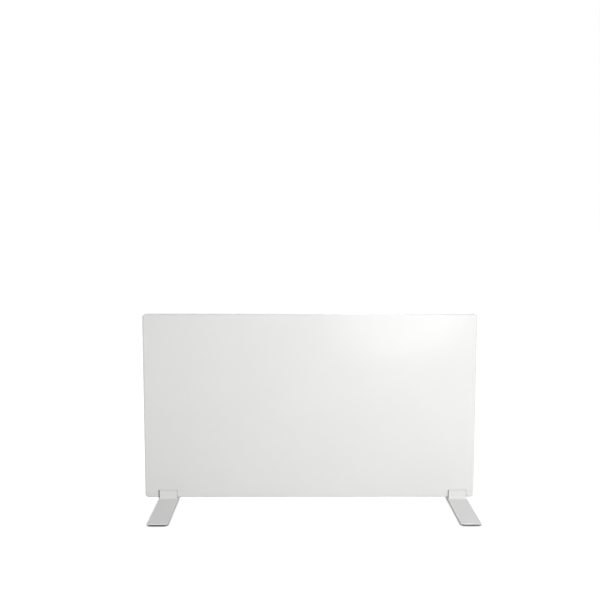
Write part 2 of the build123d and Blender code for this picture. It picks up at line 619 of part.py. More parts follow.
def box_base():
    """The tray of the connection box, with its four screw bosses."""
    tray = box_slab(0, BACK_Y, BOX_LID_Y) - box_slab(BOX_WALL, BOX_FLOOR, BOX_LID_Y)
    tray += [rod(BOSS_DIAMETER, BOX_FLOOR, BOX_LID_Y, x, z) for x, z in BOSS_POINTS]
    bore_y = BOX_LID_Y - LID_SCREW_LENGTH
    half_y = SWITCH_BODY_WIDTH / 2 + SWITCH_CUTOUT_GAP
    half_z = SWITCH_BODY_HEIGHT / 2 + SWITCH_CUTOUT_GAP
    window_half = EARTH_SCREW_HEAD / 2 + EARTH_WINDOW_ROOM
    earth_x, earth_z = EARTH_POINT
    return tray - [
        *[rod(LID_SCREW + 2 * THREAD_GAP, bore_y, BOX_LID_Y, x, z) for x, z in BOSS_POINTS],
        *[rod(COVER_SCREW + 2 * THREAD_GAP, BACK_Y, BOX_FLOOR, x, z) for x, z in BOX_SCREW_POINTS],
        rod(GROMMET_HOLE + 2 * THREAD_GAP, BACK_Y, BOX_FLOOR, GROMMET_AT_X, GROMMET_AT_Z),
        block(earth_x - window_half, earth_x + window_half, BACK_Y, BOX_FLOOR,
              earth_z - window_half, earth_z + EARTH_LEAD_END + EARTH_LEAD_STRAIGHT + EARTH_WINDOW_ROOM),
        post(GLAND_THREAD + 2 * THREAD_GAP, BOX_BOTTOM, BOX_BOTTOM + BOX_WALL, GLAND_AT_X, BOX_MIDDLE_Y),
        block(BOX_RIGHT - BOX_WALL, BOX_RIGHT, BOX_MIDDLE_Y - half_y, BOX_MIDDLE_Y + half_y,
              BOX_Z - half_z, BOX_Z + half_z),
    ]


def box_lid():
    """The flat lid, with a rib that centres it in the base."""
    lid = box_slab(0, BOX_LID_Y, BOX_LID_Y + BOX_WALL)
    lid = fillet(lid.faces().sort_by(Axis.Y)[-1].edges(), BOX_EDGE_RADIUS)
    outer = BOX_WALL + LID_GAP
    rib = box_slab(outer, BOX_LID_Y - LID_LIP, BOX_LID_Y)
    rib -= box_slab(outer + LID_LIP_SHEET, BOX_LID_Y - LID_LIP, BOX_LID_Y)
    rib -= [rod(BOSS_DIAMETER + 2 * LID_GAP, BOX_LID_Y - LID_LIP, BOX_LID_Y, x, z) for x, z in BOSS_POINTS]
    bore = LID_SCREW + 2 * THREAD_GAP
    return lid + rib - [rod(bore, BOX_LID_Y, BOX_LID_Y + BOX_WALL, x, z) for x, z in BOSS_POINTS]


def box_lid_screws():
    """Small screws through the lid into the bosses."""
    return [
        pan_screw(LID_SCREW, LID_SCREW_HEAD, LID_SCREW_HEAD_HEIGHT, LID_SCREW_LENGTH,
                  BOX_LID_Y + BOX_WALL, x, z)
        for x, z in BOSS_POINTS
    ]


def box_base_screws():
    """Screws through the box floor into the back cover."""
    return [
        pan_screw(COVER_SCREW, COVER_SCREW_HEAD, COVER_SCREW_HEAD_HEIGHT, BOX_SCREW_LENGTH, BOX_FLOOR, x, z)
        for x, z in BOX_SCREW_POINTS
    ]


# ---------------------------------------------------------------- the terminal block
BLOCK_BOTTOM = BLOCK_TOP - BLOCK_HEIGHT
BLOCK_BACK = BOX_FLOOR + BLOCK_DEPTH
CLAMP_POINTS = [(x, BOX_Z + side * CLAMP_SCREW_SPACING / 2) for x in POLE_XS for side in (-1, 1)]


def terminal_block():
    """The moulded body, with a bore for each barrel and a well for each clamp screw."""
    half = BLOCK_WIDTH / 2
    body = block(BLOCK_MIDDLE_X - half, BLOCK_MIDDLE_X + half, BOX_FLOOR, BLOCK_BACK, BLOCK_BOTTOM, BLOCK_TOP)
    body = chamfer(body.faces().sort_by(Axis.Y)[-1].edges(), CLAMP_WELL_ROOM)
    well = CLAMP_SCREW + 2 * CLAMP_WELL_ROOM
    return body - [
        *[post(BARREL_DIAMETER + 2 * THREAD_GAP, BLOCK_BOTTOM, BLOCK_TOP, x, BARREL_Y) for x in POLE_XS],
        *[rod(well, BARREL_Y, BLOCK_BACK, x, z) for x, z in CLAMP_POINTS],
    ]


def terminal_barrels():
    """The brass barrels that join a supply wire to a lead."""
    bore = CLAMP_SCREW + 2 * THREAD_GAP
    barrels = []
    for x in POLE_XS:
        tube = post(BARREL_DIAMETER, BLOCK_BOTTOM, BLOCK_TOP, x, BARREL_Y)
        tube -= post(BARREL_BORE, BLOCK_BOTTOM, BLOCK_TOP, x, BARREL_Y)
        points = [point for point in CLAMP_POINTS if point[0] == x]
        barrels.append(tube - [rod(bore, BARREL_Y, BLOCK_BACK, *point) for point in points])
    return barrels


def clamp_screws():
    """The slotted screws that press on the wires in the barrels."""
    tip = BARREL_Y + LEAD_DIAMETER / 2 + THREAD_GAP
    end = BLOCK_BACK - CLAMP_WELL_ROOM
    half = CLAMP_SCREW / 2
    screws = []
    for x, z in CLAMP_POINTS:
        groove = block(x - half, x + half, end - CLAMP_SLOT, end, z - CLAMP_SLOT / 2, z + CLAMP_SLOT / 2)
        screws.append(rod(CLAMP_SCREW, tip, end, x, z) - groove)
    return screws


# ---------------------------------------------------------------- the cable gland
GLAND_AT = (GLAND_AT_X, BOX_MIDDLE_Y)
COLLAR_Z = BOX_BOTTOM - GLAND_COLLAR
CAP_MOUTH_Z = COLLAR_Z - CAP_NUT_LENGTH
SEAL_Z = CAP_MOUTH_Z + CAP_NUT_WALL
SEAL_TOP = SEAL_Z + SEAL_LENGTH
LOCKNUT_Z = BOX_BOTTOM + BOX_WALL


def gland_body():
    """The threaded tube with its hexagonal collar, from the cap nut up into the box."""
    top = LOCKNUT_Z + LOCKNUT_THICKNESS + GLAND_END
    stub_z = COLLAR_Z - GLAND_STUB
    tube = post(GLAND_THREAD, stub_z, top, *GLAND_AT) + hex_post(GLAND_HEX, COLLAR_Z, BOX_BOTTOM, *GLAND_AT)
    tube -= post(GLAND_BORE, stub_z, top, *GLAND_AT)
    return tube - post(SEAL_DIAMETER + 2 * THREAD_GAP, stub_z, SEAL_TOP, *GLAND_AT)


def gland_locknut():
    """The nut that holds the gland in the box wall."""
    nut = hex_post(GLAND_HEX, LOCKNUT_Z, LOCKNUT_Z + LOCKNUT_THICKNESS, *GLAND_AT)
    return nut - post(GLAND_THREAD + 2 * THREAD_GAP, LOCKNUT_Z, LOCKNUT_Z + LOCKNUT_THICKNESS, *GLAND_AT)


def gland_cap_nut():
    """The domed nut that squeezes the seal."""
    dome = post(GLAND_HEX, CAP_MOUTH_Z, COLLAR_Z, *GLAND_AT)
    dome = fillet(dome.faces().sort_by(Axis.Z)[0].edges(), CAP_NUT_DOME_RADIUS)
    dome += hex_post(GLAND_HEX, COLLAR_Z - CAP_NUT_HEX, COLLAR_Z, *GLAND_AT)
    dome -= post(GLAND_THREAD + 2 * THREAD_GAP, SEAL_Z, COLLAR_Z, *GLAND_AT)
    return dome - post(CAP_NUT_MOUTH, CAP_MOUTH_Z, SEAL_Z, *GLAND_AT)


def gland_seal():
    """The rubber ring that grips the supply cable."""
    ring = post(SEAL_DIAMETER, SEAL_Z, SEAL_TOP, *GLAND_AT)
    return ring - post(CABLE_BORE, SEAL_Z, SEAL_TOP, *GLAND_AT)


# ---------------------------------------------------------------- the rocker switch
def switch_blade(z):
    """A flat terminal of the switch."""
    return block(
        BLADE_TIP_X, BLADE_TIP_X + BLADE_LENGTH + BLADE_ROOT,
        BOX_MIDDLE_Y - BLADE_WIDTH / 2, BOX_MIDDLE_Y + BLADE_WIDTH / 2,
        z - BLADE_THICKNESS / 2, z + BLADE_THICKNESS / 2)


def switch_housing():
    """The moulded switch body with its rim and the well that the rocker turns in."""
    side_plane = Plane(origin=(BOX_RIGHT, BOX_MIDDLE_Y, BOX_Z), x_dir=(0, 1, 0), z_dir=(1, 0, 0))
    rim = extrude(side_plane * RectangleRounded(SWITCH_WIDTH, SWITCH_HEIGHT, SWITCH_RIM), amount=SWITCH_RIM)
    rim = fillet(rim.faces().sort_by(Axis.X)[-1].edges(), SWITCH_RIM_RADIUS)
    half_y = SWITCH_BODY_WIDTH / 2
    half_z = SWITCH_BODY_HEIGHT / 2
    body = block(
        BOX_RIGHT - SWITCH_BODY_DEPTH, BOX_RIGHT,
        BOX_MIDDLE_Y - half_y, BOX_MIDDLE_Y + half_y, BOX_Z - half_z, BOX_Z + half_z)
    tilt = math.radians(ROCKER_TILT)
    half_chord = math.sqrt(ROCKER_RADIUS ** 2 - ROCKER_DEPTH ** 2)
    well_x = ROCKER_PIVOT_X - ROCKER_DEPTH * math.cos(tilt) - half_chord * math.sin(tilt) - ROCKER_GAP
    half_y = ROCKER_WIDTH / 2 + ROCKER_GAP
    half_z = ROCKER_RADIUS + ROCKER_GAP
    well = block(
        well_x, BOX_RIGHT + SWITCH_RIM,
        BOX_MIDDLE_Y - half_y, BOX_MIDDLE_Y + half_y, BOX_Z - half_z, BOX_Z + half_z)
    reach = ROCKER_WIDTH / 2 + PIVOT_LENGTH + 2 * PIVOT_GAP
    pivot = rod(
        PIVOT_DIAMETER + 2 * PIVOT_GAP, BOX_MIDDLE_Y - reach, BOX_MIDDLE_Y + reach, ROCKER_PIVOT_X, BOX_Z)
    return rim + body - well - pivot - [switch_blade(z) for z in BLADE_ZS]


def rocker_mark(side):
    """The generic bar or ring that is sunk in one half of the rocker's face."""
    tilt = math.radians(ROCKER_TILT)
    reach = ROCKER_RADIUS * MARK_PLACE
    origin = (ROCKER_PIVOT_X + ROCKER_VALLEY + reach * math.tan(tilt), BOX_MIDDLE_Y, BOX_Z + side * reach)
    plane = Plane(origin=origin, x_dir=(0, 1, 0), z_dir=(math.cos(tilt), 0, -side * math.sin(tilt)))
    ring = Circle(MARK_SIZE / 2) - Circle(MARK_SIZE / 2 - MARK_LINE)
    shape = Rectangle(MARK_LINE, MARK_SIZE) if side > 0 else ring
    return extrude(plane * shape, amount=-MARK_DEPTH)


def switch_rocker():
    """The rocker with its pivot pins, at rest with its upper half out and its lower half in."""
    tilt = math.radians(ROCKER_TILT)
    y0 = BOX_MIDDLE_Y - ROCKER_WIDTH / 2
    y1 = BOX_MIDDLE_Y + ROCKER_WIDTH / 2
    wide = ROCKER_RADIUS + ROCKER_GAP
    rise = ROCKER_VALLEY + wide * math.tan(tilt)
    foot = -ROCKER_DEPTH
    corners = [(foot, -wide), (rise, -wide), (ROCKER_VALLEY, 0), (rise, wide), (foot, wide)]
    outline = Polygon(*corners, align=None)
    wedge = extrude(face_plane(y0, ROCKER_PIVOT_X, BOX_Z) * outline, amount=ROCKER_WIDTH)
    disc = rod(2 * ROCKER_RADIUS, y0, y1, ROCKER_PIVOT_X, BOX_Z)
    body = (disc & wedge) - [rocker_mark(side) for side in (-1, 1)]
    body += rod(PIVOT_DIAMETER, y0 - PIVOT_LENGTH, y1 + PIVOT_LENGTH, ROCKER_PIVOT_X, BOX_Z)
    return body.rotate(Axis((ROCKER_PIVOT_X, BOX_MIDDLE_Y, BOX_Z), (0, 1, 0)), ROCKER_TILT)


# ---------------------------------------------------------------- the feet
def foot_plate(x):
    """A flat bar with rounded corners and edges, and two holes countersunk from below."""
    plate = extrude(
        Plane(origin=(x, 0, PAD_HEIGHT)) * RectangleRounded(PLATE_WIDTH, PLATE_LENGTH, PLATE_CORNER_RADIUS),
        amount=PLATE_THICKNESS)
    plate = fillet(plate.faces().sort_by(Axis.Z)[-1].edges(), PLATE_TOP_RADIUS)
    plate = fillet(plate.faces().sort_by(Axis.Z)[0].edges(), PLATE_LOW_RADIUS)
    return plate - [countersunk(SADDLE_SCREW + 2 * THREAD_GAP, PLATE_TOP, sx, 0) for sx in saddle_screw_xs(x)]


def countersunk(diameter, top, x, y):
    """The space or body of a countersunk screw: its head is flush under the foot plate."""
    head = diameter + SADDLE_SCREW_HEAD - SADDLE_SCREW
    depth = (head - diameter) / 2
    cone = Pos(x, y, PAD_HEIGHT + depth / 2) * Cone(head / 2, diameter / 2, depth)
    return cone + post(diameter, PAD_HEIGHT + depth, top, x, y)


def saddle_screw_xs(x):
    """Where the two screws of a foot stand."""
    return [x - SADDLE_SCREW_SPACING / 2, x + SADDLE_SCREW_SPACING / 2]


def saddle_screws():
    """Countersunk screws from below, through each plate into its saddle."""
    socket_z = PAD_HEIGHT + SOCKET_DEPTH
    return [
        countersunk(SADDLE_SCREW, PLATE_TOP + SADDLE_SHEET, sx, 0)
        - hex_post(SOCKET_WIDTH, PAD_HEIGHT, socket_z, sx, 0)
        for x in FOOT_XS.values() for sx in saddle_screw_xs(x)
    ]


def foot_pads():
    """The rubber pads under both ends of both plates."""
    reach = PLATE_LENGTH / 2 - PAD_INSET - PAD_LENGTH / 2
    shape = RectangleRounded(PLATE_WIDTH - 2 * PAD_INSET, PAD_LENGTH, PAD_CORNER_RADIUS)
    return [
        extrude(Plane(origin=(x, side * reach, 0)) * shape, amount=PAD_HEIGHT)
        for x in FOOT_XS.values() for side in (-1, 1)
    ]


def channel(x, width, front, back, floor, top, corner):
    """A block across the foot whose two lower edges are rounded, to make a bent sheet from."""
    body = block(x - width / 2, x + width / 2, front, back, floor, top)
    return fillet(body.edges().filter_by(Axis.X).group_by(Axis.Z)[0], corner)


def saddle(x):
    """The bent sheet that grips the panel's lower edge: a front lip, a base and a slotted rear tongue."""
    front = FRONT_Y - LINER_THICKNESS
    back = BACK_Y + LINER_THICKNESS
    top = PLATE_TOP + TONGUE_HEIGHT
    lip_top = PLATE_TOP + LIP_HEIGHT
    outer = channel(
        x, SADDLE_WIDTH, front - SADDLE_SHEET, back + SADDLE_SHEET,
        PLATE_TOP, top, SADDLE_BEND + SADDLE_SHEET)
    inner = channel(x, SADDLE_WIDTH, front, back, PLATE_TOP + SADDLE_SHEET, top, SADDLE_BEND)
    half = SADDLE_WIDTH / 2
    bracket = outer - inner - block(x - half, x + half, front - SADDLE_SHEET, 0, lip_top, top)
    lip_middle = PLATE_TOP + LIP_HEIGHT / 2
    corners = [edge for edge in bracket.edges().filter_by(Axis.Y) if edge.center().Z > lip_middle]
    bracket = fillet(corners, LIP_CORNER_RADIUS)
    slots = [
        slot_y(SLOT_LENGTH, SLOT_WIDTH, back, back + SADDLE_SHEET, x, FOOT_SCREW_Z + level * SLOT_SPACING)
        for level in (0, 1)
    ]
    bore = SADDLE_SCREW + 2 * THREAD_GAP
    threads = [post(bore, PLATE_TOP, PLATE_TOP + SADDLE_SHEET, sx, 0) for sx in saddle_screw_xs(x)]
    return bracket - slots - threads


def saddle_liner(x):
    """The rubber channel between a saddle and the panel."""
    width = SADDLE_WIDTH - 2 * LINER_SIDE
    top = PLATE_TOP + LIP_HEIGHT - LINER_SETBACK
    outer = channel(
        x, width, FRONT_Y - LINER_THICKNESS, BACK_Y + LINER_THICKNESS, PLATE_TOP + SADDLE_SHEET, top,
        SADDLE_BEND + LINER_BEND_ROOM)
    return outer - block(x - width / 2, x + width / 2, FRONT_Y, BACK_Y, PANEL_BOTTOM, top)


def foot_washers():
    """Plain washers between the slotted tongues and the foot screws."""
    y0 = BACK_Y + LINER_THICKNESS + SADDLE_SHEET
    bore = INSERT_BORE + 2 * WASHER_GAP
    return [
        rod(WASHER_DIAMETER, y0, y0 + WASHER_THICKNESS, x, z) - rod(bore, y0, y0 + WASHER_THICKNESS, x, z)
        for x, z in FOOT_SCREW_POINTS
    ]


def foot_screws():
    """Screws through the washers and the slots into the panel's inserts."""
    y = BACK_Y + LINER_THICKNESS + SADDLE_SHEET + WASHER_THICKNESS
    shank = INSERT_BORE - 2 * THREAD_GAP
    return [
        pan_screw(shank, FOOT_SCREW_HEAD, FOOT_SCREW_HEAD_HEIGHT, FOOT_SCREW_LENGTH, y, x, z)
        for x, z in FOOT_SCREW_POINTS
    ]


# ---------------------------------------------------------------- all the nodes
def all_nodes():
    """Every node's name with its solid, or its list of solids."""
    nodes = {
        "front_panel": front_panel(),
        "back_cover": back_cover(),
        "back_cover_screws": back_cover_screws(),
        "wall_inserts": [insert(x, z) for x, z in WALL_POINTS],
        "foot_inserts": [insert(x, z) for x, z in FOOT_SCREW_POINTS],
        "element_front_film": film(FILM_FRONT, TRACK_FRONT),
        "heating_track": heating_track(),
        "element_back_film": film(TRACK_BACK, COVER_FILM_BACK, TAB_WINDOWS),
        "reflector_foil": film(COVER_FILM_BACK, FOIL_BACK, TAB_WINDOWS + LIMITER_WINDOWS),
        "element_tabs": element_tabs(),
        "insulation_board": insulation_board(),
        "limiter_caps": [limiter_cap(x) for x in LIMITER_XS],
        "limiter_bodies": [limiter_body(x) for x in LIMITER_XS],
        "limiter_tabs": [tab for x in LIMITER_XS for tab in limiter_tabs(x)],
        "terminal_receptacles": receptacles(),
        "cable_grommet": cable_grommet(),
        "earth_ring": earth_ring(),
        "earth_screw": earth_screw(),
        "box_base": box_base(),
        "box_lid": box_lid(),
        "box_lid_screws": box_lid_screws(),
        "box_base_screws": box_base_screws(),
        "terminal_block": terminal_block(),
        "terminal_barrels": terminal_barrels(),
        "terminal_clamp_screws": clamp_screws(),
        "gland_body": gland_body(),
        "gland_locknut": gland_locknut(),
        "gland_cap_nut": gland_cap_nut(),
        "gland_seal": gland_seal(),
        "switch_housing": switch_housing(),
        "switch_rocker": switch_rocker(),
        "switch_blades": [switch_blade(z) for z in BLADE_ZS],
        "foot_pads": foot_pads(),
        "saddle_screws": saddle_screws(),
        "foot_washers": foot_washers(),
        "foot_screws": foot_screws(),
    }
    nodes.update({name: lead(points) for name, points in lead_runs().items()})
    for side, x in FOOT_XS.items():
        nodes[f"{side}_foot_plate"] = foot_plate(x)
        nodes[f"{side}_saddle"] = saddle(x)
        nodes[f"{side}_saddle_liner"] = saddle_liner(x)
    return nodes


def write_nodes():
    """One file for each node."""
    os.makedirs("parts", exist_ok=True)
    for name, shape in all_nodes().items():
        pieces = shape if isinstance(shape, list) else [shape]
        solids = [solid for piece in pieces for solid in piece.solids()]
        export_step(solids[0] if len(solids) == 1 else Compound(solids), f"parts/{name}.step")


write_nodes()
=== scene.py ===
"""Looks of the infrared panel heater: finishes, fine forms, floor, light and camera.

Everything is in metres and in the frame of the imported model: +X along the panel's width,
-Y towards the warm front face, +Z up, the origin on the floor under the middle of the panel.
"""

import bmesh
import bpy
import json
import math
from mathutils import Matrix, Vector


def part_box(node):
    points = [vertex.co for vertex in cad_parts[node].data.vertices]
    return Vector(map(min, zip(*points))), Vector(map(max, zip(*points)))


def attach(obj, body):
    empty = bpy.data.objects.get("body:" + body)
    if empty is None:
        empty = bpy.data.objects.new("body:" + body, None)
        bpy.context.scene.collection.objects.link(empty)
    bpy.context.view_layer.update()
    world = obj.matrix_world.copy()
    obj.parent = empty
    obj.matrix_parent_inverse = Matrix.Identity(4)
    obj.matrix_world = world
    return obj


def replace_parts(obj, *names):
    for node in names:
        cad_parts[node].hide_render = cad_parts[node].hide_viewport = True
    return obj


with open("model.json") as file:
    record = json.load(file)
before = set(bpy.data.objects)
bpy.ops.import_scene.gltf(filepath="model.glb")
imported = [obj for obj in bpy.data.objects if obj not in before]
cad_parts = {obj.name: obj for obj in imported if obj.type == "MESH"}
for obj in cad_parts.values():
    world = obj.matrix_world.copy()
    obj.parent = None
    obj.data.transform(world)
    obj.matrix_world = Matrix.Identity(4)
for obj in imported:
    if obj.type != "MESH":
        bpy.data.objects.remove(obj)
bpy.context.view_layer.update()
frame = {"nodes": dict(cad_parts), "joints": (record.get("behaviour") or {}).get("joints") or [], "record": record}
NODES = frame["nodes"]

# ---------------------------------------------------------------- sizes
# The front panel
CORNER_RADIUS = 0.009         # the four corners, seen from the front
EDGE_RADIUS = 0.005           # the fold from the face into the sides
PAN_SHEET = 0.001
FACE_MARGIN = 0.002           # from the fold's start to the flat face's own outline
SIDE_END = 0.001              # the flat side ends this far from the back
RETURN_RADIUS = 0.0006        # the fold from a side into the flange
FLANGE_WIDTH = 0.014
FLANGE_CORNER_RADIUS = 0.006
LEAST_CORNER = 0.0005

# The pads under the feet
PAD_HALF_WIDTH = 0.021
PAD_HALF_LENGTH = 0.017
PAD_CORNER_RADIUS = 0.004
PAD_SIDE = (                  # height above the floor, and how far the side is drawn in there
    (0.0, 0.0008), (0.0003, 0.0002), (0.0008, 0.0), (0.0013, 0.0), (0.0017, 0.0005),
    (0.0024, 0.0005), (0.0028, 0.0), (0.0036, 0.0), (0.0040, 0.0002))

# The liners in the saddles, whose black ends past the saddles are painted shadow beside the lips
LINER_BEND = 0.0015
LINER_RISE = 0.0016           # higher than the plain liner of the model
SHADOW_OVERHANG_LOW_X = {"left": 0.0027, "right": 0.0015}     # painted shadow: black liner past each saddle's side at -X
SHADOW_OVERHANG_HIGH_X = {"left": 0.0003, "right": 0.0009}      # painted shade: black liner past its side at +X

# The painted seams of the feet
SEAM_HEIGHT = 0.0065
SEAM_TOE = 0.0050             # how far a seam runs out on the foot plate
SEAM_DEPTH = 0.0008           # how far it reaches into the saddle's rounded foot
SEAM_HOLLOW_OUT = 1.6         # how hollow it is, outwards and upwards: 1 is a round cove
SEAM_HOLLOW_UP = 1.2
SEAM_RUN_OUT = 0.0008
SEAM_TAPER = ((0.2, 0), (0.75, 1), (1.0, 3))        # share of the toe, and run-outs from its end
SEAM_LEAST_RISE = 0.7

# The gland's cap nut
CAP_NUT_RIBS = 24
CAP_NUT_RIB_POINTS = 8
CAP_NUT_RIB_DEPTH = 0.0005
CAP_NUT_RIBS_FROM = 0.0036    # above the mouth
CAP_NUT_RIB_EASE = 0.0004     # length over which the ribs start and end
CAP_NUT_RIB_START = 0.3       # share of their depth there
CAP_NUT_DOME_RADIUS = 0.0032
CAP_NUT_HEX_LENGTH = 0.007
CAP_NUT_HEX_REACH = 1.13      # its cut corners, as a share of half its width
CAP_NUT_SHOULDER = 0.0006
CAP_NUT_CHAMFER = 0.0005
CAP_NUT_MOUTH = 0.0047
CAP_NUT_WALL = 0.002
CAP_NUT_BORE = 0.00805

# The rocker and its marks
ROCKER_RADIUS = 0.0081
ROCKER_TILT = math.radians(11)
ROCKER_VALLEY = 0.0032        # the middle of the rocker above its pivot
MARK_PLACE = 0.42             # of the rocker's radius, from its middle
MARK_SIZE = 0.003
MARK_LINE = 0.0006
MARK_DEPTH = 0.00025
MARK_FILL = 0.7               # share of a mark's depth that the paint fills
MARK_POINTS = 48              # round the ring

# ---------------------------------------------------------------- camera, light and floor
CAMERA_PLACE = (-0.0350, -2.2701, 0.7725)
CAMERA_DOWN = math.radians(5.467)
CAMERA_LEFT = math.radians(-0.216)
LENS = 50.57
SENSOR_WIDTH = 36.0
LAMP_AIM = (0.0, 0.0, 0.25)
KEY_PLACE = (0.60, -1.60, 0.85)
KEY_SIZE = 0.8
KEY_POWER = 13.7
SIDE_PLACE = (1.8, -1.2, 0.8)
SIDE_SIZE = 0.5
SIDE_POWER = 4.2
FILL_PLACE = (-1.5, -1.5, 0.9)
FILL_SIZE = 0.8
FILL_POWER = 2.0
REAR_PLACE = (0.25, 0.8, 1.3)
REAR_SIZE = 0.35
REAR_POWER = 11.0
GLOW_PLACE = (1.1, -1.0, 0.75)
GLOW_AIM = (0.250, 0.0, 0.520)
GLOW_POWER = 7.3
GLOW_ANGLE = math.radians(12.4)
GLOW_BLEND = 0.35
GLOW_SIZE = 0.04
AMBIENT_LEVEL = 0.56          # at the horizon
AMBIENT_ABOVE = 0.34          # straight overhead
FLOOR_HALF = 30.0
FLOOR_COLOUR = 0.8            # as the light of the room meets it
FLOOR_SHOWN = 0.3             # as the camera sees it, on top of its glow
FLOOR_GLOW = 0.95
CONTACT_GLOW = 0.14           # what is left of the glow right under the feet, as painted shade
CONTACT_REACH = 0.010         # how far the painted shade next to the feet spreads
CONTACT_CLOSED = 0.45         # openness of the floor where it is darkest
CONTACT_OPEN = 0.98           # and where the painted shade ends


# ---------------------------------------------------------------- finishes
class Finish:
    """One node material, built up in layers on a Principled shader."""

    def __init__(self, name, colour, roughness, metal=0.0):
        self.material = bpy.data.materials.new(name)
        self.material.use_nodes = True
        self.tree = self.material.node_tree
        self.shader = self.tree.nodes["Principled BSDF"]
        self.base = colour
        self.roughness = roughness
        self.normal = None
        self.shader.inputs["Base Color"].default_value = (*colour, 1)
        self.shader.inputs["Roughness"].default_value = roughness
        self.shader.inputs["Metallic"].default_value = metal
        self.coordinates = self.add("ShaderNodeTexCoord").outputs["Object"]

    def add(self, kind, **settings):
        """A node with its settings."""
        node = self.tree.nodes.new(kind)
        for name, value in settings.items():
            setattr(node, name, value)
        return node

    def join(self, output, target):
        """A link between two sockets."""
        self.tree.links.new(output, target)

    def spread_out(self, stretch):
        """Object coordinates, scaled on each axis, so that a pattern is drawn out or squeezed."""
        mapping = self.add("ShaderNodeMapping")
        mapping.inputs["Scale"].default_value = stretch
        self.join(self.coordinates, mapping.inputs["Vector"])
        return mapping.outputs["Vector"]

    def noise(self, scale, detail=3.0, stretch=(1, 1, 1)):
        """A noise pattern's factor. The scale is in cells per metre."""
        node = self.add("ShaderNodeTexNoise")
        node.inputs["Scale"].default_value = scale
        node.inputs["Detail"].default_value = detail
        self.join(self.spread_out(stretch), node.inputs["Vector"])
        return node.outputs[0]

    def cells(self, scale):
        """The distance in a pattern of cells."""
        node = self.add("ShaderNodeTexVoronoi")
        node.inputs["Scale"].default_value = scale
        self.join(self.coordinates, node.inputs["Vector"])
        return node.outputs["Distance"]

    def bands(self, scale, direction="X", distortion=0.0, stretch=(1, 1, 1)):
        """Even bands across one direction."""
        node = self.add("ShaderNodeTexWave", bands_direction=direction)
        node.inputs["Scale"].default_value = scale
        node.inputs["Distortion"].default_value = distortion
        self.join(self.spread_out(stretch), node.inputs["Vector"])
        return node.outputs[1]

    def remap(self, value, low, high, new_low, new_high):
        """A value moved from one range to another, held at both ends."""
        node = self.add("ShaderNodeMapRange")
        self.join(value, node.inputs["Value"])
        limits = {"From Min": low, "From Max": high, "To Min": new_low, "To Max": new_high}
        for name, number in limits.items():
            node.inputs[name].default_value = number
        return node.outputs[0]

    def mix_in(self, colour, mask):
        """Another colour where the mask is 1."""
        mix = self.add("ShaderNodeMix", data_type="RGBA")
        target = self.shader.inputs["Base Color"]
        if target.is_linked:
            self.join(target.links[0].from_socket, mix.inputs["A"])
        else:
            mix.inputs["A"].default_value = target.default_value
        mix.inputs["B"].default_value = (*colour, 1)
        self.join(mask, mix.inputs["Factor"])
        self.join(mix.outputs["Result"], target)
        return self

    def mottle(self, scale, amount):
        """A slow change towards a darker shade of the base colour."""
        darker = [part * (1 - amount) for part in self.base]
        return self.mix_in(darker, self.remap(self.noise(scale), 0.35, 0.7, 0, 1))

    def uneven_gloss(self, scale, spread):
        """Roughness that wanders around its middle."""
        value = self.remap(
            self.noise(scale, 4.0), 0.3, 0.7, self.roughness - spread, self.roughness + spread)
        self.join(value, self.shader.inputs["Roughness"])
        return self

    def raise_by(self, height, depth):
        """Relief of that depth in metres where the height is 1."""
        bump = self.add("ShaderNodeBump")
        bump.inputs["Strength"].default_value = 1.0
        bump.inputs["Distance"].default_value = depth
        self.join(height, bump.inputs["Height"])
        if self.normal is not None:
            self.join(self.normal, bump.inputs["Normal"])
        self.normal = bump.outputs["Normal"]
        self.join(self.normal, self.shader.inputs["Normal"])
        return self

    def grain(self, scale, depth, detail=2.0, stretch=(1, 1, 1)):
        """Fine relief from noise."""
        return self.raise_by(self.noise(scale, detail, stretch), depth)

    def soft_edges(self, radius, wear_colour=None, wear=0.0):
        """Sharp edges shaded as if rounded, and rubbed towards another colour."""
        bevel = self.add("ShaderNodeBevel", samples=4)
        bevel.inputs["Radius"].default_value = radius
        self.normal = bevel.outputs["Normal"]
        self.join(self.normal, self.shader.inputs["Normal"])
        if wear_colour is None:
            return self
        geometry = self.add("ShaderNodeNewGeometry")
        facing = self.add("ShaderNodeVectorMath", operation="DOT_PRODUCT")
        self.join(self.normal, facing.inputs[0])
        self.join(geometry.outputs["Normal"], facing.inputs[1])
        edge = self.remap(facing.outputs["Value"], 0.97, 0.8, 0.0, wear)
        patches = self.remap(self.noise(180.0, 5.0), 0.42, 0.6, 0.0, 1.0)
        rubbed = self.add("ShaderNodeMath", operation="MULTIPLY")
        self.join(edge, rubbed.inputs[0])
        self.join(patches, rubbed.inputs[1])
        return self.mix_in(wear_colour, rubbed.outputs["Value"])

    def set(self, **values):
        """Constant values on the shader's own sockets; an underscore stands for a space."""
        for name, value in values.items():
            self.shader.inputs[name.replace("_", " ")].default_value = value
        return self


WHITE = (0.80, 0.80, 0.795)
WHITE_EDGE = (0.87, 0.87, 0.865)

white_coat = Finish("white_coat", WHITE, 0.42)
white_coat.soft_edges(0.0005, WHITE_EDGE, 0.35).mottle(5.0, 0.012).uneven_gloss(60.0, 0.05)
white_coat.grain(420.0, 0.00002).grain(1500.0, 0.000012, 4.0)

back_coat = Finish("back_coat", (0.76, 0.76, 0.755), 0.5)
back_coat.soft_edges(0.0004, WHITE_EDGE, 0.3).mottle(7.0, 0.02).uneven_gloss(50.0, 0.06)
back_coat.grain(500.0, 0.00003).grain(1700.0, 0.00002, 4.0)

zinc_steel = Finish("zinc_steel", (0.66, 0.67, 0.69), 0.32, 1.0)
zinc_steel.soft_edges(0.00025, (0.86, 0.86, 0.87), 0.8).mottle(700.0, 0.14).uneven_gloss(900.0, 0.1)
zinc_steel.grain(2500.0, 0.00001, 3.0)

tinned_metal = Finish("tinned_metal", (0.74, 0.73, 0.70), 0.38, 1.0)
tinned_metal.soft_edges(0.0002, (0.9, 0.89, 0.87), 0.6).mottle(500.0, 0.12).uneven_gloss(600.0, 0.1)
tinned_metal.grain(1800.0, 0.00001)

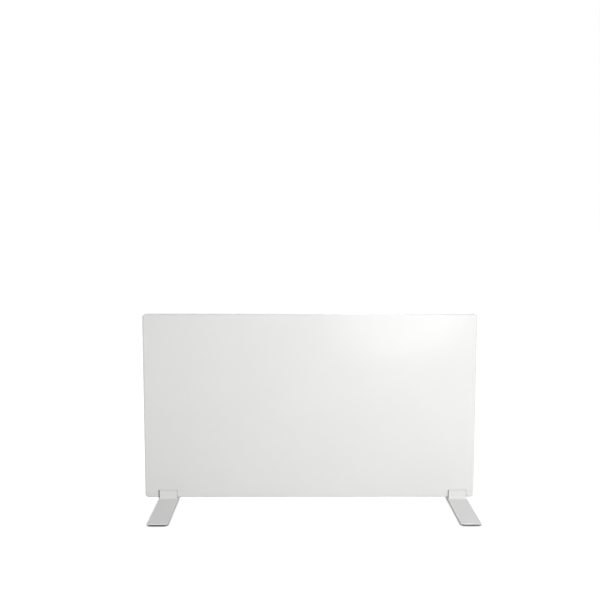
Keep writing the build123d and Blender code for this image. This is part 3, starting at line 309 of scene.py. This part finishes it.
brass = Finish("brass", (0.76, 0.56, 0.26), 0.3, 1.0)
brass.soft_edges(0.0002, (0.9, 0.74, 0.42), 0.7).mottle(400.0, 0.15)
brass.raise_by(brass.bands(900.0, "Z", 0.4), 0.000006)

foil = Finish("foil", (0.86, 0.87, 0.88), 0.2, 1.0)
foil.uneven_gloss(40.0, 0.08).raise_by(foil.cells(60.0), 0.0004).grain(220.0, 0.0001, 5.0)

element_film = Finish("element_film", (0.62, 0.42, 0.14), 0.25)
element_film.mottle(9.0, 0.1).uneven_gloss(30.0, 0.06).grain(120.0, 0.00004)
element_film.set(Coat_Weight=0.4, Coat_Roughness=0.12)

carbon_track = Finish("carbon_track", (0.035, 0.035, 0.038), 0.7)
carbon_track.mottle(300.0, 0.3).uneven_gloss(400.0, 0.1)
carbon_track.raise_by(carbon_track.bands(500.0, "X"), 0.00002)
carbon_track.raise_by(carbon_track.bands(500.0, "Z"), 0.00002)

fibre_board = Finish("fibre_board", (0.80, 0.74, 0.58), 0.95)
fibre_board.mottle(25.0, 0.12).mix_in((0.58, 0.5, 0.36), fibre_board.remap(
    fibre_board.noise(90.0, 6.0, (1, 1, 9)), 0.6, 0.72, 0, 0.7))
fibre_board.grain(260.0, 0.0004, 6.0, (1, 1, 5)).grain(260.0, 0.0003, 6.0, (6, 1, 1))

limiter_plastic = Finish("limiter_plastic", (0.055, 0.052, 0.05), 0.5)
limiter_plastic.soft_edges(0.0003, (0.12, 0.12, 0.12), 0.5).mottle(300.0, 0.2).uneven_gloss(300.0, 0.1)
limiter_plastic.grain(1600.0, 0.00003)

rubber_black = Finish("rubber_black", (0.045, 0.045, 0.046), 0.85)
rubber_black.soft_edges(0.0004, (0.11, 0.11, 0.11), 0.6).mottle(120.0, 0.25)
rubber_black.mix_in((0.12, 0.118, 0.112), rubber_black.remap(
    rubber_black.noise(300.0, 6.0), 0.6, 0.8, 0, 0.5))
rubber_black.grain(1400.0, 0.00004, 4.0)

box_plastic = Finish("box_plastic", (0.74, 0.74, 0.73), 0.55)
box_plastic.soft_edges(0.0005, (0.83, 0.83, 0.82), 0.4).mottle(30.0, 0.025).uneven_gloss(200.0, 0.06)
box_plastic.raise_by(box_plastic.cells(1100.0), 0.00004).grain(2400.0, 0.00003, 4.0)

gland_plastic = Finish("gland_plastic", (0.70, 0.70, 0.69), 0.42)
gland_plastic.soft_edges(0.0004, (0.8, 0.8, 0.79), 0.5).mottle(90.0, 0.04).uneven_gloss(200.0, 0.06)
gland_plastic.grain(900.0, 0.00002)

block_plastic = Finish("block_plastic", (0.78, 0.76, 0.68), 0.4)
block_plastic.soft_edges(0.0003, (0.86, 0.85, 0.8), 0.4).mottle(120.0, 0.05).uneven_gloss(200.0, 0.06)
block_plastic.set(Subsurface_Weight=0.15, Subsurface_Scale=0.002)
block_plastic.grain(700.0, 0.00002)

switch_black = Finish("switch_black", (0.02, 0.02, 0.022), 0.24)
switch_black.soft_edges(0.0003, (0.07, 0.07, 0.075), 0.5).mottle(200.0, 0.2).uneven_gloss(250.0, 0.07)
switch_black.grain(600.0, 0.000012)

mark_paint = Finish("mark_paint", (0.85, 0.85, 0.84), 0.55)
mark_paint.mottle(900.0, 0.08).uneven_gloss(900.0, 0.08).grain(3000.0, 0.00001)


def lead_finish(name, colour):
    """Glossy silicone insulation with faint rings from its extrusion."""
    made = Finish(name, colour, 0.35)
    made.mottle(150.0, 0.12).uneven_gloss(200.0, 0.07).grain(800.0, 0.00002, 3.0, (1, 1, 0.4))
    return made


lead_brown = lead_finish("lead_brown", (0.16, 0.062, 0.028))
lead_blue = lead_finish("lead_blue", (0.03, 0.11, 0.42))
lead_green = lead_finish("lead_green", (0.06, 0.28, 0.05))
lead_green.mix_in((0.72, 0.62, 0.04), lead_green.remap(
    lead_green.bands(330.0, "X", 0.0, (1, 0.2, 0)), 0.45, 0.55, 0, 1))

FINISHES = {
    "white_coat": white_coat, "back_coat": back_coat, "zinc_steel": zinc_steel, "film": element_film,
    "carbon_track": carbon_track, "foil": foil, "tinned_metal": tinned_metal,
    "fibre_board": fibre_board, "limiter_plastic": limiter_plastic, "rubber_black": rubber_black,
    "box_plastic": box_plastic, "block_plastic": block_plastic, "brass": brass,
    "gland_plastic": gland_plastic, "switch_black": switch_black, "lead_brown": lead_brown,
    "lead_blue": lead_blue, "lead_green": lead_green,
}


def dress_nodes():
    """Every node of the model gets the finish of its slot in the record."""
    for part in frame["record"]["subparts"]:
        node = NODES[part["node"]]
        finish = FINISHES[part["material_slot"]]
        for place in node.material_slots:
            place.material = finish.material


# ---------------------------------------------------------------- mesh tools
def rounded_outline(half_width, half_height, radius, steps=10):
    """Points of a rounded rectangle about (0, 0), anticlockwise, with even arcs at its corners."""
    points = []
    for quarter in range(4):
        sx, sy = ((1, 1), (-1, 1), (-1, -1), (1, -1))[quarter]
        for step in range(steps + 1):
            angle = math.pi / 2 * (quarter + step / steps)
            x = sx * (half_width - radius) + radius * math.cos(angle)
            y = sy * (half_height - radius) + radius * math.sin(angle)
            points.append((x, y))
    return points


def loft(name, rings, slot, body="panel", closed_round=False):
    """A piece from rings of equally many points: an end face each, or closed round on itself."""
    mesh = bmesh.new()
    rows = [[mesh.verts.new(point) for point in ring] for ring in rings]
    count = len(rows[0])
    for lower, upper in zip(rows, rows[1:]):
        for i in range(count):
            j = (i + 1) % count
            mesh.faces.new((lower[i], lower[j], upper[j], upper[i]))
    if closed_round:
        for i in range(count):
            j = (i + 1) % count
            mesh.faces.new((rows[-1][i], rows[-1][j], rows[0][j], rows[0][i]))
    else:
        mesh.faces.new(list(reversed(rows[0])))
        mesh.faces.new(rows[-1])
    bmesh.ops.recalc_face_normals(mesh, faces=mesh.faces)
    data = bpy.data.meshes.new(name)
    mesh.to_mesh(data)
    mesh.free()
    data.shade_smooth()
    data.set_sharp_from_angle(angle=math.radians(35))
    piece = bpy.data.objects.new(name, data)
    bpy.context.scene.collection.objects.link(piece)
    data.materials.append(FINISHES[slot].material)
    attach(piece, body)
    return piece


def arc(radius, turns_from, turns_to, steps):
    """Offsets along a round edge, as (sine, cosine) lengths, from one angle to another in degrees."""
    angles = [math.radians(turns_from + (turns_to - turns_from) * i / steps) for i in range(steps + 1)]
    return [(radius * math.sin(angle), radius * math.cos(angle)) for angle in angles]


# ---------------------------------------------------------------- the front panel
def front_shell():
    """The folded front panel: face, rounded fold, sides and return flange, one sheet thick."""
    low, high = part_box("front_panel")
    half_x = (high.x - low.x) / 2
    half_z = (high.z - low.z) / 2
    middle_z = (high.z + low.z) / 2
    front, back = low.y, high.y

    def ring(inset, y, radius=None):
        corner = CORNER_RADIUS - inset if radius is None else radius
        corner = max(corner, LEAST_CORNER)
        return [(x, y, middle_z + z) for x, z in rounded_outline(half_x - inset, half_z - inset, corner)]

    rings = [ring(EDGE_RADIUS + FACE_MARGIN, front)]
    for along, across in arc(EDGE_RADIUS, 0, 90, 10):
        rings.append(ring(EDGE_RADIUS - along, front + EDGE_RADIUS - across))
    rings.append(ring(0.0, back - SIDE_END))
    for along, across in arc(RETURN_RADIUS, 90, 0, 4):
        rings.append(ring(RETURN_RADIUS - along, back - RETURN_RADIUS + across))
    rings.append(ring(FLANGE_WIDTH, back, FLANGE_CORNER_RADIUS))
    rings.append(ring(FLANGE_WIDTH, back - PAN_SHEET, FLANGE_CORNER_RADIUS))
    rings.append(ring(PAN_SHEET, back - PAN_SHEET))
    inner = EDGE_RADIUS - PAN_SHEET
    for along, across in arc(inner, 90, 0, 6):
        rings.append(ring(PAN_SHEET + inner - along, front + PAN_SHEET + inner - across))
    piece = loft("front_shell", rings, "white_coat")
    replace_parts(piece, "front_panel")


# ---------------------------------------------------------------- the pads under the feet
def pad_places():
    """Side, end, middle and outer edge of each pad, under both ends of both plates."""
    low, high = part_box("foot_pads")
    for side in ("left", "right"):
        plate_low, plate_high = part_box(f"{side}_foot_plate")
        x = (plate_low.x + plate_high.x) / 2
        for end, y_edge in (("front", low.y), ("rear", high.y)):
            yield side, end, x, y_edge


def make_pads():
    """The four moulded pads as one piece each, with a waist all round."""
    made = []
    for side, end, x, y_edge in pad_places():
        y = y_edge + PAD_HALF_LENGTH if end == "front" else y_edge - PAD_HALF_LENGTH
        rings = [
            [(x + px, y + py, z) for px, py in rounded_outline(
                PAD_HALF_WIDTH - inset, PAD_HALF_LENGTH - inset, PAD_CORNER_RADIUS - inset)]
            for z, inset in PAD_SIDE
        ]
        made.append(loft(f"{side}_{end}_grip_pad", rings, "rubber_black"))
    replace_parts(made[0], "foot_pads")


# ---------------------------------------------------------------- the liners in the saddles
def make_liners():
    """The rubber channels that grip the panel's lower edge, cut longer than the saddles so that their black ends
    are painted shadow beside the lips.
    """
    for side in ("left", "right"):
        low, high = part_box(f"{side}_saddle_liner")
        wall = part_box("front_panel")[0].z - low.z
        top = high.z + LINER_RISE
        outline = [(high.y - wall, top), (high.y - wall, low.z + wall),
                   (low.y + wall, low.z + wall), (low.y + wall, top), (low.y, top)]
        for along, across in arc(LINER_BEND, 0, 90, 6):
            outline.append((low.y + LINER_BEND - across, low.z + LINER_BEND - along))
        for along, across in arc(LINER_BEND, 90, 0, 6):
            outline.append((high.y - LINER_BEND + across, low.z + LINER_BEND - along))
        outline.append((high.y, top))
        saddle_low, saddle_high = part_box(f"{side}_saddle")
        # the black ends past the saddle's sides are painted shadow
        ends = (saddle_low.x - SHADOW_OVERHANG_LOW_X[side], saddle_high.x + SHADOW_OVERHANG_HIGH_X[side])
        rings = [[(x, y, z) for y, z in outline] for x in ends]
        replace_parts(loft(f"{side}_liner_with_shadow_ends", rings, "rubber_black"), f"{side}_saddle_liner")


# ---------------------------------------------------------------- the painted seams of the feet
def make_seams():
    """Weld seams under the coat, where the saddles stand on the foot plates."""
    for side in ("left", "right"):
        low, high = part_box(f"{side}_saddle")
        for end, face, outwards in (("front", low.y, -1), ("rear", high.y, 1)):
            outline = [(face - outwards * SEAM_DEPTH, low.z)]
            outline.append((face + outwards * SEAM_TOE, low.z))
            for along, across in arc(1.0, 0, 90, 8):
                outline.append((face + outwards * SEAM_TOE * (1 - along) ** SEAM_HOLLOW_OUT,
                                low.z + SEAM_HEIGHT * (1 - across) ** SEAM_HOLLOW_UP))
            outline.append((face - outwards * SEAM_DEPTH, low.z + SEAM_HEIGHT))
            places = [(share, low.x + steps * SEAM_RUN_OUT) for share, steps in SEAM_TAPER]
            places += [(share, high.x - steps * SEAM_RUN_OUT) for share, steps in reversed(SEAM_TAPER)]
            rings = []
            for share, x in places:
                rise = SEAM_LEAST_RISE + (1 - SEAM_LEAST_RISE) * share
                rings.append([(x, face + (y - face) * share if outwards * (y - face) > 0 else y,
                               low.z + (z - low.z) * rise) for y, z in outline])
            loft(f"{side}_{end}_seam", rings, "white_coat")


# ---------------------------------------------------------------- the gland's cap nut
def cap_nut():
    """The domed nut: a round mouth, a ribbed grip and a hexagon next to the collar."""
    low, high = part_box("gland_cap_nut")
    centre_x, centre_y = (low.x + high.x) / 2, (low.y + high.y) / 2
    mouth, top = low.z, high.z
    apothem = (high.y - low.y) / 2
    count = CAP_NUT_RIBS * CAP_NUT_RIB_POINTS
    hex_from = top - CAP_NUT_HEX_LENGTH

    def circle(radius, z, ribs=0.0):
        """A round ring, with grooves of that depth between its ribs."""
        points = []
        for i in range(count):
            angle = 2 * math.pi * i / count
            here = radius - ribs * (0.5 - 0.5 * math.cos(CAP_NUT_RIBS * angle)) ** 2
            points.append((centre_x + here * math.cos(angle), centre_y + here * math.sin(angle), z))
        return points

    def hexagon(inset, z):
        """A ring with six flats and cut corners."""
        points = []
        for i in range(count):
            angle = 2 * math.pi * i / count
            from_flat = angle % (math.pi / 3) - math.pi / 6
            here = min(apothem / math.cos(from_flat), apothem * CAP_NUT_HEX_REACH) - inset
            points.append((centre_x + here * math.cos(angle), centre_y + here * math.sin(angle), z))
        return points

    rings = [circle(CAP_NUT_MOUTH, mouth)]
    for along, across in arc(CAP_NUT_DOME_RADIUS, 0, 90, 8):
        rings.append(circle(apothem - CAP_NUT_DOME_RADIUS + along, mouth + CAP_NUT_DOME_RADIUS - across))
    shallow = CAP_NUT_RIB_DEPTH * CAP_NUT_RIB_START
    rings.append(circle(apothem, mouth + CAP_NUT_RIBS_FROM, shallow))
    rings.append(circle(apothem, mouth + CAP_NUT_RIBS_FROM + CAP_NUT_RIB_EASE, CAP_NUT_RIB_DEPTH))
    rings.append(circle(apothem, hex_from - 2 * CAP_NUT_RIB_EASE, CAP_NUT_RIB_DEPTH))
    rings.append(circle(apothem, hex_from - CAP_NUT_RIB_EASE, shallow))
    rings.append(circle(apothem, hex_from))
    rings.append(hexagon(CAP_NUT_SHOULDER, hex_from))
    rings.append(hexagon(0.0, hex_from + CAP_NUT_SHOULDER))
    rings.append(hexagon(0.0, top - CAP_NUT_CHAMFER))
    rings.append(hexagon(CAP_NUT_CHAMFER, top))
    rings.append(circle(CAP_NUT_BORE, top))
    rings.append(circle(CAP_NUT_BORE, mouth + CAP_NUT_WALL))
    rings.append(circle(CAP_NUT_MOUTH, mouth + CAP_NUT_WALL))
    piece = loft("ribbed_cap_nut", rings, "gland_plastic", closed_round=True)
    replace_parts(piece, "gland_cap_nut")


# ---------------------------------------------------------------- paint in the rocker's marks
def rocker_point(pivot, side, u, v, height):
    """A point on one half of the rocker at rest: u across, v up its face, height above the groove."""
    sine, cosine = math.sin(ROCKER_TILT), math.cos(ROCKER_TILT)
    reach = ROCKER_RADIUS * MARK_PLACE
    above_face = height - MARK_DEPTH
    x = ROCKER_VALLEY + reach * math.tan(ROCKER_TILT) + above_face * cosine + side * v * sine
    z = side * reach - side * above_face * sine + v * cosine
    turned_x = x * cosine + z * sine
    turned_z = z * cosine - x * sine
    return (pivot.x + turned_x, pivot.y + u, pivot.z + turned_z)


def rocker_marks():
    """White paint in the bar and the ring that are sunk in the rocker."""
    joint = frame["joints"][0]
    pivot = Vector(joint["pos_m"])
    fill = MARK_DEPTH * MARK_FILL
    half_line, half_mark = MARK_LINE / 2, MARK_SIZE / 2
    bar = rounded_outline(half_line, half_mark, half_line * 0.3, 3)
    bar_rings = [[rocker_point(pivot, 1, u, v, height) for u, v in bar] for height in (0.0, fill)]
    loft("rocker_bar_paint", bar_rings, "switch_black", "rocker").data.materials[0] = mark_paint.material
    around = [2 * math.pi * i / MARK_POINTS for i in range(MARK_POINTS)]
    inside = half_mark - MARK_LINE
    ring_rings = [
        [rocker_point(pivot, -1, radius * math.cos(t), radius * math.sin(t), height) for t in around]
        for radius, height in ((half_mark, 0.0), (half_mark, fill), (inside, fill), (inside, 0.0))
    ]
    ring = loft("rocker_ring_paint", ring_rings, "switch_black", "rocker", closed_round=True)
    ring.data.materials[0] = mark_paint.material


# ---------------------------------------------------------------- floor, light and camera
def visible_rays(tree):
    """1 for rays that show the background: from the camera, in a gloss or through something clear."""
    path = tree.nodes.new("ShaderNodeLightPath")
    total = path.outputs["Is Camera Ray"]
    for name in ("Is Glossy Ray", "Is Transmission Ray"):
        add = tree.nodes.new("ShaderNodeMath")
        add.operation = "ADD"
        add.use_clamp = True
        tree.links.new(total, add.inputs[0])
        tree.links.new(path.outputs[name], add.inputs[1])
        total = add.outputs[0]
    return total


def make_world():
    """White for the camera and in gloss, softer as the light of the room."""
    world = bpy.data.worlds.new("studio")
    bpy.context.scene.world = world
    world.use_nodes = True
    tree = world.node_tree
    background = tree.nodes["Background"]
    background.inputs["Color"].default_value = (1, 1, 1, 1)
    direction = tree.nodes.new("ShaderNodeTexCoord")
    split = tree.nodes.new("ShaderNodeSeparateXYZ")
    ambient = tree.nodes.new("ShaderNodeMapRange")
    ambient.inputs["To Min"].default_value = AMBIENT_LEVEL
    ambient.inputs["To Max"].default_value = AMBIENT_ABOVE
    strength = tree.nodes.new("ShaderNodeMapRange")
    strength.inputs["To Max"].default_value = 1.0
    tree.links.new(direction.outputs["Generated"], split.inputs[0])
    tree.links.new(split.outputs["Z"], ambient.inputs["Value"])
    tree.links.new(ambient.outputs[0], strength.inputs["To Min"])
    tree.links.new(visible_rays(tree), strength.inputs["Value"])
    tree.links.new(strength.outputs[0], background.inputs["Strength"])


def make_floor():
    """A wide pale floor. It looks white to the camera and keeps the heater's shadow; next to the feet its glow is
    dimmed as painted shade.
    """
    corners = [(-FLOOR_HALF, -FLOOR_HALF, 0), (FLOOR_HALF, -FLOOR_HALF, 0),
               (FLOOR_HALF, FLOOR_HALF, 0), (-FLOOR_HALF, FLOOR_HALF, 0)]
    data = bpy.data.meshes.new("floor")
    data.from_pydata(corners, [], [(0, 1, 2, 3)])
    floor = bpy.data.objects.new("floor", data)
    bpy.context.scene.collection.objects.link(floor)
    material = bpy.data.materials.new("pale_floor")
    material.use_nodes = True
    tree = material.node_tree
    tree.nodes.clear()
    output = tree.nodes.new("ShaderNodeOutputMaterial")
    plain = tree.nodes.new("ShaderNodeBsdfDiffuse")
    plain.inputs["Color"].default_value = (FLOOR_COLOUR, FLOOR_COLOUR, FLOOR_COLOUR, 1)
    shown = tree.nodes.new("ShaderNodeBsdfDiffuse")
    shown.inputs["Color"].default_value = (FLOOR_SHOWN, FLOOR_SHOWN, FLOOR_SHOWN, 1)
    glow = tree.nodes.new("ShaderNodeEmission")
    both = tree.nodes.new("ShaderNodeAddShader")
    mix = tree.nodes.new("ShaderNodeMixShader")
    # painted shade: the glow the camera sees is dimmed where the feet close the floor in
    painted_contact_shade = tree.nodes.new("ShaderNodeAmbientOcclusion")
    painted_contact_shade.inputs["Distance"].default_value = CONTACT_REACH
    glow_after_painted_shade = tree.nodes.new("ShaderNodeMapRange")
    glow_after_painted_shade.inputs["From Min"].default_value = CONTACT_CLOSED
    glow_after_painted_shade.inputs["From Max"].default_value = CONTACT_OPEN
    glow_after_painted_shade.inputs["To Min"].default_value = CONTACT_GLOW
    glow_after_painted_shade.inputs["To Max"].default_value = FLOOR_GLOW
    tree.links.new(painted_contact_shade.outputs["AO"], glow_after_painted_shade.inputs["Value"])
    tree.links.new(glow_after_painted_shade.outputs[0], glow.inputs["Strength"])
    tree.links.new(shown.outputs[0], both.inputs[0])
    tree.links.new(glow.outputs[0], both.inputs[1])
    tree.links.new(visible_rays(tree), mix.inputs[0])
    tree.links.new(plain.outputs[0], mix.inputs[1])
    tree.links.new(both.outputs[0], mix.inputs[2])
    tree.links.new(mix.outputs[0], output.inputs["Surface"])
    data.materials.append(material)


def aim(lamp, place, target):
    """A lamp at a place, pointing at a target."""
    lamp.location = place
    lamp.rotation_euler = (Vector(target) - Vector(place)).to_track_quat("-Z", "Y").to_euler()
    bpy.context.scene.collection.objects.link(lamp)


def make_lamps():
    """A soft key, side and fill lamp in front, one behind, and a glow on the face's upper right."""
    for name, place, size, power in (
            ("key", KEY_PLACE, KEY_SIZE, KEY_POWER), ("side", SIDE_PLACE, SIDE_SIZE, SIDE_POWER),
            ("fill", FILL_PLACE, FILL_SIZE, FILL_POWER), ("rear", REAR_PLACE, REAR_SIZE, REAR_POWER)):
        lamp = bpy.data.lights.new(name, "AREA")
        lamp.size = size
        lamp.energy = power
        aim(bpy.data.objects.new(name, lamp), place, LAMP_AIM)
    glow = bpy.data.lights.new("glow", "SPOT")
    glow.spot_size = GLOW_ANGLE
    glow.spot_blend = GLOW_BLEND
    glow.shadow_soft_size = GLOW_SIZE
    glow.energy = GLOW_POWER
    aim(bpy.data.objects.new("glow", glow), GLOW_PLACE, GLOW_AIM)


def make_camera():
    """The photograph's point of view."""
    data = bpy.data.cameras.new("camera")
    data.lens = LENS
    data.sensor_width = SENSOR_WIDTH
    camera = bpy.data.objects.new("camera", data)
    camera.location = CAMERA_PLACE
    camera.rotation_euler = (math.pi / 2 - CAMERA_DOWN, 0.0, CAMERA_LEFT)
    bpy.context.scene.collection.objects.link(camera)
    bpy.context.scene.camera = camera


dress_nodes()
front_shell()
make_pads()
make_liners()
make_seams()
cap_nut()
rocker_marks()
make_world()
make_floor()
make_lamps()
make_camera()
bpy.context.scene.view_settings.view_transform = "Standard"
